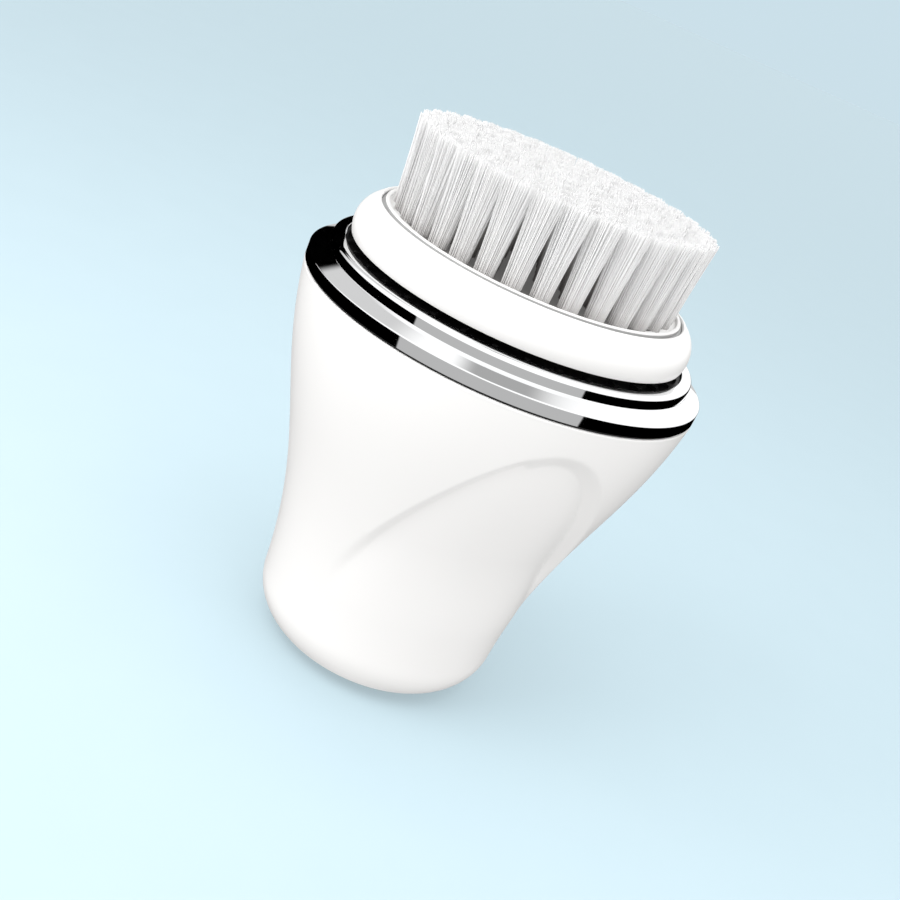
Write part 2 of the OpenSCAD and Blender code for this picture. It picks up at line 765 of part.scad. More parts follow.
module head_shell() {
    color(shell_white) difference() {
        union() {
            difference() {
                rotate_extrude() polygon(concat([[0, head_z]], skirt_arc(0), [[0, skirt_top]]));
                translate([0, 0, head_z - 1])
                    cylinder(r = head_r - skirt_t - 0.5, h = floor_z - head_z + 1);
                translate([0, 0, plate_z]) cylinder(r = plate_r + fit_gap, h = skirt_h);
            }
            ring(shaft_r + 3.4, shaft_r + 1.8, head_z - 0.4, floor_z + 0.5);
        }
        translate([0, 0, head_z - 1]) cylinder(r = shaft_r + 1.8, h = skirt_h);
        for (a = chassis_angles) rotate([0, 0, a]) translate([15, 0, floor_z]) {
            translate([0, 0, -1]) cylinder(r = 0.8, h = 6);
            translate([0, 0, -1]) cylinder(r = 1.8, h = 1.9);
        }
    }
}

socket_top = head_z - 0.4 + spigot_h + 0.1;
module tuft_plate() {
    color(shell_white) difference() {
        union() {
            translate([0, 0, plate_z]) cylinder(r = plate_r, h = plate_t);
            ring(plate_r, plate_r - lip_w, plate_top - 0.5, plate_top + lip_h);
        }
        translate([0, 0, plate_z - 1]) cylinder(r = shaft_r + 1.8, h = socket_top - plate_z + 1);
        for (a = chassis_angles) rotate([0, 0, a])
            translate([15, 0, plate_z - 1]) cylinder(r = 0.8, h = 2.8);
    }
}

module drive_socket() {
    color([0.45, 0.46, 0.48]) translate([0, 0, head_z - 0.4]) difference() {
        cylinder(r = shaft_r + 1.8, h = spigot_h + 0.1);
        translate([0, 0, -1]) cylinder(r = spigot_af / sqrt(3) + fit_gap, h = spigot_h + 0.6, $fn = 6);
    }
}

module head_screws() {
    color(steel) for (a = chassis_angles) rotate([0, 0, a])
        translate([15, 0, 0]) mirror([0, 0, 1]) screw(-floor_z - 0.9, 0.8, 2.4, 1.6, 0.8);
}

module tuft_row(row) {
    r = row_r - row * row_pitch;
    count = round(row_count * r / row_r);
    color(nylon) for (i = [0:count - 1]) rotate([0, 0, (i + row / 2) * 360 / count])
        translate([r, 0, plate_top]) cylinder(r1 = tuft_foot_r, r2 = tuft_tip_r, h = tuft_h, $fn = 24);
}

module tuft_middle() {
    color(nylon) translate([0, 0, plate_top])
        cylinder(r1 = tuft_foot_r, r2 = tuft_tip_r, h = tuft_h, $fn = 24);
}

body_shell();
seam_gasket();
chrome_collar();
top_deck();
deck_o_ring();
shaft_seal();
deck_screws();
gearbox_plate();
chassis_screws();
gearbox_cover();
cover_screws();
output_bush();
idler_axle();
motor_can();
motor_magnets();
motor_end_cap();
motor_terminals();
motor_screws();
inner_frame();
battery_cell();
battery_leads();
motor_leads();
circuit_board();
board_chips();
tact_switch();
status_led();
board_screws();
charging_socket();
light_pipe();
button_ring();
power_button();
port_cover();
motor_shaft();
motor_rotor();
motor_commutator();
motor_pinion();
idler_gear();
output_gear();
output_shaft();
shaft_clip();
head_shell();
tuft_plate();
drive_socket();
head_screws();
tuft_row(0);  // tufts_row_1
tuft_row(1);  // tufts_row_2
tuft_row(2);  // tufts_row_3
tuft_row(3);  // tufts_row_4
tuft_row(4);  // tufts_row_5
tuft_middle();
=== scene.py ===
import json
import math
import bmesh
import bpy
from mathutils import Matrix, Vector


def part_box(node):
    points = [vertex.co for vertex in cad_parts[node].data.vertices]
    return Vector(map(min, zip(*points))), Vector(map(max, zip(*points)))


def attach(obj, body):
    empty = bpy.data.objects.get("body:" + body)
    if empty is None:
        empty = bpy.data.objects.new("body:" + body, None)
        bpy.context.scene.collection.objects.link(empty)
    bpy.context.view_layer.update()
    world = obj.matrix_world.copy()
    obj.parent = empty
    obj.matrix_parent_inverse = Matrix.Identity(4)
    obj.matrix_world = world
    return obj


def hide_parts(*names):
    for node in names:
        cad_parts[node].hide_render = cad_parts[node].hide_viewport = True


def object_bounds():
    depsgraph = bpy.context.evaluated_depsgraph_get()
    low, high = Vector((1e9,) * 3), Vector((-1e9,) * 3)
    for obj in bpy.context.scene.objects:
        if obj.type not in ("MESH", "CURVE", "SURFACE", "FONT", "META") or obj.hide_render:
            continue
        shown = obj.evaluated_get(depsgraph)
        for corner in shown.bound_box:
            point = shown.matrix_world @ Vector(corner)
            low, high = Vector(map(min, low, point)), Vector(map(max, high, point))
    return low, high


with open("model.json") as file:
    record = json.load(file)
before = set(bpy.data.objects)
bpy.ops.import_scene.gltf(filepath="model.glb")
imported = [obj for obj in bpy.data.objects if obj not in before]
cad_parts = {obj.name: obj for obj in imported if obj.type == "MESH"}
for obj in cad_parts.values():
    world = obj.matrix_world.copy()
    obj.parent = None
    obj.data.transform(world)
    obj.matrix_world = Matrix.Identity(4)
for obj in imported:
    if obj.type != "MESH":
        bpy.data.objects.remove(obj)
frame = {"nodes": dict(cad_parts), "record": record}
cadBox = [list(corner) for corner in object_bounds()]
mm = 0.001
weldGap = 2e-6  # points closer than this are one point
tiny = 1e-9
nearHalf = 0.49  # two arcs never meet on the side between them
crease = {"plain": 32, "plastic": 40, "plated": 50}  # degrees
print("frame loaded:", len(frame["nodes"]), "CAD nodes")

collarLow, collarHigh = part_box("chrome_collar")
headLow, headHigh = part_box("head_shell")
plateLow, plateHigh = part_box("tuft_plate")
rimRadius = collarHigh.x
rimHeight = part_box("seam_gasket")[0].z
collarBottom = collarLow.z
collarTop = collarHigh.z


# small helpers

def addNode(tree, kind, settings=None, **inputs):
    # one call makes a node, sets its properties and links or fills its inputs:
    # i0, i1 and so on go by number, other names by the input's own name
    node = tree.nodes.new(kind)
    for key, value in (settings or {}).items():
        setattr(node, key, value)
    for key, value in inputs.items():
        byNumber = key[0] == "i" and key[1:].isdigit()
        slot = node.inputs[int(key[1:]) if byNumber else key.replace("_", " ")]
        if isinstance(value, bpy.types.NodeSocket):
            tree.links.new(value, slot)
        else:
            slot.default_value = value
    return node


def calc(tree, operation, a, b=0.0, c=0.0):
    return addNode(tree, "ShaderNodeMath", {"operation": operation}, i0=a, i1=b, i2=c).outputs[0]


def ramp(tree, value, stops):
    node = addNode(tree, "ShaderNodeValToRGB", None, Fac=value)
    band = node.color_ramp
    while len(band.elements) > 1:
        band.elements.remove(band.elements[0])
    band.elements[0].position = stops[0][0]
    band.elements[0].color = (*stops[0][1], 1)
    for place, colour in stops[1:]:
        band.elements.new(place).color = (*colour, 1)
    return node.outputs["Color"]


def newMaterial(name):
    mat = bpy.data.materials.new(name)
    mat.use_nodes = True
    tree = mat.node_tree
    return mat, tree, tree.nodes["Principled BSDF"]


def finishMesh(name, verts, faces, material, creaseAngle=crease["plain"]):
    # clean closed mesh with outward faces
    data = bpy.data.meshes.new(name)
    work = bmesh.new()
    points = [work.verts.new(v) for v in verts]
    for face in faces:
        work.faces.new([points[i] for i in face])
    tidyMesh(work, creaseAngle)
    work.to_mesh(data)
    work.free()
    piece = bpy.data.objects.new(name, data)
    bpy.context.scene.collection.objects.link(piece)
    data.materials.append(material)
    return piece


def tidyMesh(work, creaseAngle):
    # smooth except along edges that turn more sharply than the crease angle
    bmesh.ops.remove_doubles(work, verts=work.verts, dist=weldGap)
    bmesh.ops.dissolve_degenerate(work, dist=weldGap / 20, edges=work.edges)
    bmesh.ops.recalc_face_normals(work, faces=work.faces)
    for face in work.faces:
        face.smooth = True
    for edge in work.edges:
        edge.smooth = not (edge.is_manifold and edge.calc_face_angle(0) > math.radians(creaseAngle))


def inMetres(points):
    return [(r * mm, z * mm) for r, z in points]


def rounded(corners, steps=4):
    # corners are (r, z, radius) in millimetres: each becomes an arc of that radius
    outline = []
    count = len(corners)
    for i, (r, z, radius) in enumerate(corners):
        here = Vector((r, z))
        if radius <= 0:
            outline.append(here)
            continue
        before = Vector(corners[i - 1][:2]) - here
        after = Vector(corners[(i + 1) % count][:2]) - here
        half = before.angle(after) / 2
        reach = min(radius / math.tan(half), before.length * nearHalf, after.length * nearHalf)
        start = here + before.normalized() * reach
        end = here + after.normalized() * reach
        for k in range(steps + 1):
            t = k / steps
            # a quadratic curve pulled by the corner is close to the arc and meets its sides smoothly
            outline.append(start * (1 - t) ** 2 + here * 2 * t * (1 - t) + end * t ** 2)
    return inMetres(outline)


def revolve(name, outline, material, turns, creaseAngle=crease["plain"], depth=None):
    # outline is a closed loop of (r, z); depth may sink a point by its angle, radius, height and index
    verts, faces = [], []
    count = len(outline)
    onAxis = [r < tiny for r, z in outline]
    for turn in turns:
        for i, (r, z) in enumerate(outline):
            reach = r - (depth(turn, r, z, i) if depth else 0)
            verts.append((reach * math.cos(turn), reach * math.sin(turn), z))
    for k in range(len(turns)):
        n = (k + 1) % len(turns)
        for i in range(count):
            j = (i + 1) % count
            if onAxis[i] and onAxis[j]:
                continue
            quad = [k * count + i, k * count + j, n * count + j, n * count + i]
            if onAxis[i]:
                quad = quad[:3]
            elif onAxis[j]:
                quad = [quad[0], quad[1], quad[3]]
            faces.append(quad)
    return finishMesh(name, verts, faces, material, creaseAngle)


def evenTurns(count):
    return [2 * math.pi * k / count for k in range(count)]


def place(piece, body, *nodes, slot=None):
    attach(piece, body)
    if nodes:
        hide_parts(*nodes)
    return piece


# materials

def noise(tree, spot, scale, detail):
    return addNode(tree, "ShaderNodeTexNoise", None, Vector=spot, Scale=scale, Detail=detail).outputs["Fac"]


# scales are waves per metre; polish is the roughness at the two ends of the noise, as a share
plasticSkin = {"driftScale": 60.0, "driftDetail": 3.0, "driftBand": (0.3, 0.7), "lighter": 0.5,
               "polish": (0.9, 1.15), "grainDetail": 2.0, "grainHeight": 0.0002}
metalSkin = {"markScale": 180.0, "markDetail": 4.0, "markBand": (0.35, 0.65), "polish": (0.8, 1.2)}


def polished(tree, unevenness, roughness, polish):
    return addNode(tree, "ShaderNodeMapRange", None, Value=unevenness, i3=roughness * polish[0],
                   i4=roughness * polish[1]).outputs[0]


def plasticMaterial(name, colour, roughness, grainScale=900, grainDepth=0.02, tone=0.015, specular=0.5):
    # moulded plastic: faint colour drift by the tone, slightly uneven polish and a fine skin
    p = plasticSkin
    mat, tree, shader = newMaterial(name)
    spot = addNode(tree, "ShaderNodeTexCoord").outputs["Object"]
    drift = noise(tree, spot, p["driftScale"], p["driftDetail"])
    fine = noise(tree, spot, grainScale, p["grainDetail"])
    low = tuple(max(0, c - tone) for c in colour)
    high = tuple(min(1, c + tone * p["lighter"]) for c in colour)
    tinted = ramp(tree, drift, list(zip(p["driftBand"], (low, high))))
    bump = addNode(tree, "ShaderNodeBump", None, Height=fine, Strength=grainDepth,
                   Distance=p["grainHeight"]).outputs[0]
    tree.links.new(tinted, shader.inputs["Base Color"])
    tree.links.new(polished(tree, drift, roughness, p["polish"]), shader.inputs["Roughness"])
    tree.links.new(bump, shader.inputs["Normal"])
    shader.inputs["Specular IOR Level"].default_value = specular
    return mat


def metalMaterial(name, colour, roughness, streak=0.03, brushed=0):
    # plated or turned metal: clean mirror with faint unevenness, or fine turning marks
    m = metalSkin
    mat, tree, shader = newMaterial(name)
    spot = addNode(tree, "ShaderNodeTexCoord").outputs["Object"]
    stretched = addNode(tree, "ShaderNodeMapping", None, Vector=spot, Scale=(1, 1, 1 + brushed)).outputs[0]
    marks = noise(tree, stretched, m["markScale"], m["markDetail"])
    low = tuple(c * (1 - streak) for c in colour)
    tinted = ramp(tree, marks, list(zip(m["markBand"], (low, colour))))
    tree.links.new(tinted, shader.inputs["Base Color"])
    tree.links.new(polished(tree, marks, roughness, m["polish"]), shader.inputs["Roughness"])
    shader.inputs["Metallic"].default_value = 1.0
    return mat


def multiplyColours(tree, first, second):
    return addNode(tree, "ShaderNodeMixRGB", {"blend_type": "MULTIPLY"}, Fac=1.0, Color1=first,
                   Color2=second).outputs[0]


# tuft colours: the strand shades are each strand's own random tone; the two foot-to-tip ramps are painted
# shade, near the plate and deep inside the field; the glow values set a painted glow that the strands give
# off
tuftLook = {
    "strandShades": [(0.0, (0.86, 0.86, 0.865)), (0.5, (0.90, 0.90, 0.90)), (1.0, (0.93, 0.93, 0.93))],
    "paintedFootShade": [(0.0, (0.68, 0.665, 0.655)), (0.16, (0.90, 0.895, 0.89)), (0.5, (0.98, 0.98, 0.98))],
    "paintedInsideShade": [(0.0, (0.16, 0.15, 0.145)), (0.3, (0.42, 0.41, 0.40)), (0.62, (0.85, 0.85, 0.85)),
                        (0.85, (1.0, 1.0, 1.0))],
    "insideShadeFrom": 20.4, "insideShadeTo": 18.6, "footGlow": 0.09, "tipGlow": 0.10,
    "roughness": 0.45, "specular": 0.35,
}


def tuftMaterial():
    # nylon filaments: each its own tone, greyer near the plate and deep inside the field by painted shade,
    # lighter towards the tips, and all giving off a painted glow that is a little stronger at the tips
    t = tuftLook
    mat, tree, shader = newMaterial("tuftNylon")
    tone = addNode(tree, "ShaderNodeAttribute", {"attribute_name": "tone"}).outputs["Fac"]
    along = addNode(tree, "ShaderNodeAttribute", {"attribute_name": "along"}).outputs["Fac"]
    shade = ramp(tree, tone, t["strandShades"])
    # painted shade: the strands are greyer near the plate
    fade = ramp(tree, along, t["paintedFootShade"])
    # painted shade: strands deep inside the field are darker still, most near the plate
    spot = addNode(tree, "ShaderNodeTexCoord").outputs["Object"]
    flat = addNode(tree, "ShaderNodeVectorMath", {"operation": "MULTIPLY"}, i0=spot,
                   i1=(1, 1, 0)).outputs[0]
    reach = addNode(tree, "ShaderNodeVectorMath", {"operation": "LENGTH"}, i0=flat).outputs["Value"]
    outer = addNode(tree, "ShaderNodeMapRange", {"interpolation_type": "SMOOTHSTEP"}, Value=reach,
                    i1=t["insideShadeTo"] * mm, i2=t["insideShadeFrom"] * mm).outputs[0]
    depth = ramp(tree, along, t["paintedInsideShade"])
    insideShadeMix = addNode(tree, "ShaderNodeMixRGB", None, Fac=outer, Color1=depth, Color2=(1, 1, 1, 1)).outputs[0]
    fade = multiplyColours(tree, fade, insideShadeMix)
    mixed = multiplyColours(tree, shade, fade)
    tree.links.new(mixed, shader.inputs["Base Color"])
    # painted glow: the strands give off light in their own colour, a little stronger at the tips
    tree.links.new(mixed, shader.inputs["Emission Color"])
    paintedGlow = addNode(tree, "ShaderNodeMapRange", {"interpolation_type": "SMOOTHSTEP"}, Value=along,
                    i3=t["footGlow"], i4=t["tipGlow"]).outputs[0]
    tree.links.new(paintedGlow, shader.inputs["Emission Strength"])
    shader.inputs["Roughness"].default_value = t["roughness"]
    shader.inputs["Specular IOR Level"].default_value = t["specular"]
    return mat


whiteGloss = plasticMaterial("whiteGloss", (0.90, 0.895, 0.885), 0.32, 700, 0.012, 0.006, 0.28)
softWhite = plasticMaterial("softWhite", (0.84, 0.84, 0.83), 0.6, 1500, 0.08, 0.01, 0.3)
chrome = metalMaterial("chromePlate", (0.93, 0.935, 0.94), 0.035, 0.01)
blackPlastic = plasticMaterial("blackPlastic", (0.005, 0.005, 0.005), 0.4, 1200, 0.05, 0.002, 0.1)
blackRubber = plasticMaterial("blackRubber", (0.02, 0.02, 0.02), 0.7, 1800, 0.12, 0.006, 0.3)
steel = metalMaterial("turnedSteel", (0.62, 0.63, 0.65), 0.22, 0.12, 6)
framePlastic = plasticMaterial("framePlastic", (0.66, 0.66, 0.61), 0.5, 1100, 0.1, 0.02)
whiteNylon = plasticMaterial("whiteNylon", (0.78, 0.78, 0.74), 0.5, 1100, 0.1, 0.02)
brass = metalMaterial("turnedBrass", (0.78, 0.60, 0.28), 0.25, 0.12, 5)
copper = metalMaterial("woundCopper", (0.70, 0.34, 0.18), 0.35, 0.4, 30)
magnet = metalMaterial("sinteredMagnet", (0.12, 0.12, 0.13), 0.6, 0.3)
cellWrap = plasticMaterial("cellWrap", (0.06, 0.16, 0.42), 0.3, 400, 0.05, 0.02)
leadBlack = plasticMaterial("leadBlack", (0.03, 0.03, 0.03), 0.5, 1500, 0.05, 0.01)
leadRed = plasticMaterial("leadRed", (0.50, 0.03, 0.02), 0.5, 1500, 0.05, 0.02)
boardGreen = plasticMaterial("boardGreen", (0.02, 0.16, 0.07), 0.4, 500, 0.1, 0.015)
greyPlastic = plasticMaterial("greyPlastic", (0.30, 0.31, 0.33), 0.5, 1100, 0.1, 0.02)
clearPlastic = plasticMaterial("clearPlastic", (0.85, 0.9, 0.95), 0.15, 800, 0.02, 0.01)
# painted shade: grey for the groove round the tuft plate
paintedGrooveShade = plasticMaterial("paintedGrooveShade", (0.42, 0.42, 0.42), 0.5, 1100, 0.05, 0.02)
# painted shade: dark for the plate top between the tufts
paintedGapShade = plasticMaterial("paintedGapShade", (0.13, 0.125, 0.12), 0.6, 1100, 0.05, 0.02)
tuftNylon = tuftMaterial()
bySlot = {
    "white_gloss": whiteGloss, "soft_white": softWhite, "chrome": chrome, "black_plastic": blackPlastic,
    "black_rubber": blackRubber, "steel": steel, "frame_plastic": framePlastic, "white_nylon": whiteNylon,
    "brass": brass, "copper": copper, "magnet": magnet, "cell_wrap": cellWrap, "lead_black": leadBlack,
    "lead_red": leadRed, "board_green": boardGreen, "grey_plastic": greyPlastic,
    "clear_plastic": clearPlastic, "tuft_nylon": tuftNylon,
}
for part in frame["record"]["subparts"]:
    node = frame["nodes"][part["node"]]
    node.data.materials.clear()
    node.data.materials.append(bySlot[part["material_slot"]])
print("materials made")


# body

bodyShape = {
    "footRadius": 19.9, "footRound": 7.5, "wall": 2.2,
    "lowerLean": 1.3, "lowerPull": 23.5, "upperLean": 2.1, "upperPull": 18.2,
    "flankSteps": 132, "footSteps": 12, "floorSteps": 5, "insideSteps": 10,
    "fineTurn": 0.45, "plainTurn": 1.25, "fineReach": 44, "lastTurn": 359.8,
    "rimEdge": 0.25, "rimCurve": (0.05, 0.3),
    "upstandOuter": 27.0, "upstandInner": 25.6, "upstandHeight": 2.1, "flangeThickness": 2.2,
    "ceilingGap": 0.2, "ceilingStep": 0.02,
}
gripShape = {
    "archDrop": 4.6, "halfWidth": 17.2, "lowHeight": 15.0,
    "shallow": 0.85, "deep": 1.6, "narrowWall": 0.95, "wideWall": 2.1, "lowWall": 1.0,
    "wideStart": 10.0, "wideUntil": 42.0, "wideFrom": 109.0, "wideTurn": 4.0,
    "shallowUntil": -12.0, "deepFrom": 10.0,
    "fade": 0.42, "valley": 0.28, "valleyWidth": 2.6,
}
openings = {
    "buttonHeight": 36.0, "buttonHole": 4.7, "ringSeat": 6.0, "seatDepth": 0.8,
    "lampHeight": 27.0, "lampHole": 1.0, "portHeight": 14.0, "portWidth": 12.0, "portTall": 7.0,
    "portDepth": 1.4, "portCorner": 0.5, "socketWidth": 9.8, "socketTall": 4.0, "socketCorner": 1.9,
    "start": 12.0, "end": 36.0, "rings": 8,
}


def smooth(low, high, value):
    # 0 below low, 1 above high, an even S between them
    t = min(1.0, max(0.0, (value - low) / (high - low)))
    return t * t * (3 - 2 * t)


def flankCurve(t, inset=0.0):
    # point (r, z) on the curved side, from the foot at 0 to the rim at 1
    s = bodyShape
    rim = rimHeight / mm
    ends = [(s["footRadius"], s["footRound"]),
            (s["footRadius"] + s["lowerLean"], s["footRound"] + s["lowerPull"]),
            (rimRadius / mm - s["upperLean"], rim - s["upperPull"]), (rimRadius / mm, rim)]
    weights = ((1 - t) ** 3, 3 * (1 - t) ** 2 * t, 3 * (1 - t) * t * t, t ** 3)
    r = sum(w * e[0] for w, e in zip(weights, ends)) - inset
    z = sum(w * e[1] for w, e in zip(weights, ends))
    return (r * mm, z * mm)


def flankRadius(z):
    # radius of the flank at a height, found by halving
    low, high = 0.0, 1.0
    while high - low > tiny:
        middle = (low + high) / 2
        if flankCurve(middle)[1] < z:
            low = middle
        else:
            high = middle
    return flankCurve(low)[0]


def gripDepth(turn, r, z):
    # how far the surface lies below the flank: a sloped wall inside the arch, wide on one side
    # and over the top, narrow down the other leg, then a floor that runs out downwards
    g = gripShape
    x = r * math.cos(turn) / mm
    y = r * math.sin(turn) / mm * (1 if x > 0 else -1)
    up = z / mm - g["lowHeight"]
    span = rimHeight / mm - g["archDrop"] - g["lowHeight"]
    if up <= 0:
        return 0.0
    q = math.hypot(y / g["halfWidth"], up / span)
    if q >= 1:
        return 0.0
    slope = math.hypot(y / g["halfWidth"] ** 2, up / span ** 2) / max(q, 1e-6)
    inside = (1 - q) / max(slope, 1e-6)
    around = math.degrees(math.atan2(up / span, y / g["halfWidth"]))
    wide = g["lowWall"] + (g["wideWall"] - g["lowWall"]) * smooth(g["wideStart"], g["wideUntil"], around)
    width = wide + (g["narrowWall"] - wide) * smooth(g["wideFrom"] - g["wideTurn"], g["wideFrom"], around)
    side = smooth(g["shallowUntil"], g["deepFrom"], y)
    full = (g["shallow"] + (g["deep"] - g["shallow"]) * side) * smooth(0.0, g["fade"], up / span)
    valley = math.exp(-max(0.0, inside - width) / g["valleyWidth"])
    return full * (1 - g["valley"] * (1 - valley)) * min(1.0, inside / width) * mm


def sweepTurns():
    # angles round the body, closer together across the two grips, which face 0 and 180 degrees
    s = bodyShape
    turns = []
    turn = 0.0
    while turn < s["lastTurn"]:
        turns.append(math.radians(turn))
        off = min(abs(turn - c) for c in (0, 180, 360))
        turn += s["fineTurn"] if off < s["fineReach"] else s["plainTurn"]
    return turns


def makeBody():
    # the cross-section runs up the outside, over the rim and its upstand, then back down the inside
    s = bodyShape
    foot, bend = s["footRadius"], s["footRound"]
    rim, edge = rimHeight, s["rimEdge"] * mm
    standOuter, standInner = s["upstandOuter"] * mm, s["upstandInner"] * mm
    standTop = rim + s["upstandHeight"] * mm
    ceiling = rim - s["flangeThickness"] * mm

    def footPoint(radius, degrees):
        a = math.radians(degrees)
        return ((foot - bend + radius * math.sin(a)) * mm, (bend - radius * math.cos(a)) * mm)

    section = [(0, 0)]
    section += [footPoint(bend, 90 * i / s["footSteps"]) for i in range(s["footSteps"])]
    section += [flankCurve(i / s["flankSteps"]) for i in range(s["flankSteps"])]
    flankEnd = len(section)
    curveFoot, curveMiddle = s["rimCurve"]
    section += [(rimRadius - edge * curveFoot, rim - edge),
                (rimRadius - edge * curveMiddle, rim - edge * curveMiddle), (rimRadius - edge, rim),
                (standOuter, rim), (standOuter, standTop), (standInner, standTop), (standInner, ceiling)]
    inside = [flankCurve(i / s["insideSteps"], s["wall"]) for i in range(s["insideSteps"] + 1)]
    inside = [point for point in inside if point[1] < ceiling - s["ceilingGap"] * mm]
    section.append((inside[-1][0] + s["ceilingStep"] * mm, ceiling))
    section += inside[::-1]
    floorBend, floorSteps = bend - s["wall"], s["floorSteps"]
    section += [footPoint(floorBend, 90 - 90 * i / floorSteps) for i in range(1, floorSteps)]
    section.append((0, s["wall"] * mm))

    def depth(turn, r, z, index):
        # only the outside is hollowed
        return gripDepth(turn, r, z) if index < flankEnd else 0

    return revolve("bodyShell", section, whiteGloss, sweepTurns(), crease["plastic"], depth)


def prismAcross(verts, faces, outline, inset=None):
    # adds a closed prism along +Y; its inner end is flat, or follows the flank at an inset
    o = openings
    rings = o["rings"]
    middle = (sum(p[0] for p in outline) / len(outline), sum(p[1] for p in outline) / len(outline))

    def innerY(x, z):
        if inset is None:
            return o["start"] * mm
        return math.sqrt(max(tiny, (flankRadius(z) - inset * mm) ** 2 - x * x))

    first = len(verts)
    count = len(outline)
    for ring in range(rings):
        share = 1 - ring / rings
        for x, z in outline:
            px = (middle[0] + (x - middle[0]) * share) * mm
            pz = (middle[1] + (z - middle[1]) * share) * mm
            verts.append((px, innerY(px, pz), pz))
    verts.append((middle[0] * mm, innerY(middle[0] * mm, middle[1] * mm), middle[1] * mm))
    centre = len(verts) - 1
    far = len(verts)
    verts.extend((x * mm, o["end"] * mm, z * mm) for x, z in outline)
    for ring in range(rings - 1):
        for i in range(count):
            j = (i + 1) % count
            a, b = first + ring * count, first + (ring + 1) * count
            faces.append([a + i, a + j, b + j, b + i])
    last = first + (rings - 1) * count
    for i in range(count):
        j = (i + 1) % count
        faces.append([last + i, last + j, centre])
        faces.append([first + j, first + i, far + i, far + j])
    faces.append(list(range(far, far + count)))


def circleOutline(radius, height, count=64):
    return [(radius * math.cos(a), height + radius * math.sin(a)) for a in evenTurns(count)]


def boxOutline(width, tall, height, corner, cornerSteps=6):
    outline = []
    for cx, cz, start in ((1, 1, 0), (-1, 1, 90), (-1, -1, 180), (1, -1, 270)):
        for k in range(cornerSteps + 1):
            a = math.radians(start + 90 * k / cornerSteps)
            outline.append((cx * (width / 2 - corner) + corner * math.cos(a),
                            height + cz * (tall / 2 - corner) + corner * math.sin(a)))
    return outline


def cutOpenings(piece):
    # the seats of the button ring and the cover, then the holes that go through the wall
    o = openings
    shallowCuts = ([], [])
    prismAcross(*shallowCuts, circleOutline(o["ringSeat"], o["buttonHeight"]), o["seatDepth"])
    port = boxOutline(o["portWidth"], o["portTall"], o["portHeight"], o["portCorner"])
    prismAcross(*shallowCuts, port, o["portDepth"])
    throughCuts = ([], [])
    prismAcross(*throughCuts, circleOutline(o["buttonHole"], o["buttonHeight"]))
    prismAcross(*throughCuts, circleOutline(o["lampHole"], o["lampHeight"], 32))
    socket = boxOutline(o["socketWidth"], o["socketTall"], o["portHeight"], o["socketCorner"])
    prismAcross(*throughCuts, socket)
    for verts, faces in (shallowCuts, throughCuts):
        cutter = finishMesh("cutter", verts, faces, whiteGloss)
        modifier = piece.modifiers.new("opening", "BOOLEAN")
        modifier.operation = "DIFFERENCE"
        modifier.solver = "EXACT"
        modifier.object = cutter
        graph = bpy.context.evaluated_depsgraph_get()
        result = bpy.data.meshes.new_from_object(piece.evaluated_get(graph))
        piece.modifiers.remove(modifier)
        piece.data = result
        bpy.data.objects.remove(cutter)
    work = bmesh.new()
    work.from_mesh(piece.data)
    tidyMesh(work, crease["plastic"])
    work.to_mesh(piece.data)
    work.free()
    piece.data.name = piece.name


bodyShell = makeBody()
cutOpenings(bodyShell)
place(bodyShell, "housing", "body_shell", slot="white_gloss")
print("body made:", len(bodyShell.data.polygons), "faces")


# collar and gasket

collarShape = {
    "bandHeight": 1.7, "ledgeRise": 1.1, "stepRadius": 28.4, "seatRadius": 26.6, "innerRadius": 27.1,
    "flangeRadius": 25.5, "innerHeight": 2.2,
    "edge": 0.22, "topEdge": 0.75, "stepEdge": 0.12, "seatEdge": 0.15, "hiddenEdge": 0.05, "segments": 320,
}
gasketShape = {"innerRadius": 27.1, "inset": 0.3, "segments": 256}


def makeCollar():
    c = collarShape
    base, top = collarBottom / mm, collarTop / mm
    ledge = base + c["bandHeight"]
    step = ledge + c["ledgeRise"]
    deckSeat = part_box("shaft_seal")[0].z / mm
    innerTop = rimHeight / mm + c["innerHeight"]
    hidden = c["hiddenEdge"]
    corners = [(c["innerRadius"], base, hidden),
               (rimRadius / mm, base, 0), (rimRadius / mm, ledge, c["edge"]),
               (c["stepRadius"], step, c["stepEdge"]), (c["stepRadius"], top, c["topEdge"]),
               (c["seatRadius"], top, c["seatEdge"]), (c["seatRadius"], deckSeat, 0),
               (c["flangeRadius"], deckSeat, hidden), (c["flangeRadius"], innerTop, hidden),
               (c["innerRadius"], innerTop, hidden)]
    return revolve("chromeCollar", rounded(corners, 6), chrome, evenTurns(c["segments"]), crease["plated"])


def makeGasket():
    g = gasketShape
    outer, low, high = rimRadius / mm - g["inset"], rimHeight / mm, collarBottom / mm
    corners = [(g["innerRadius"], low, 0), (outer, low, 0), (outer, high, 0), (g["innerRadius"], high, 0)]
    return revolve("seamGasket", rounded(corners), blackRubber, evenTurns(g["segments"]))


place(makeCollar(), "housing", "chrome_collar", slot="chrome")
place(makeGasket(), "housing", "seam_gasket", slot="black_rubber")
print("collar and gasket made")


# brush head

headShape = {
    "bulgeRadius": 4.3, "bulgeHeight": 1.6,
    "skirtLift": 0.4, "skirtWall": 1.9, "skirtEdge": 0.1, "floor": 1.1,
    "shoulder": 0.35, "shoulderRound": ((0.12, 0.18), (0.35, 0.3)), "shoulderIn": 0.6,
    "seatInset": 0.8, "seatGap": 0.1, "seatEdge": 0.15,
    "hubOuter": 5.9, "hubInner": 4.3, "arcSteps": 22, "segments": 288,
}


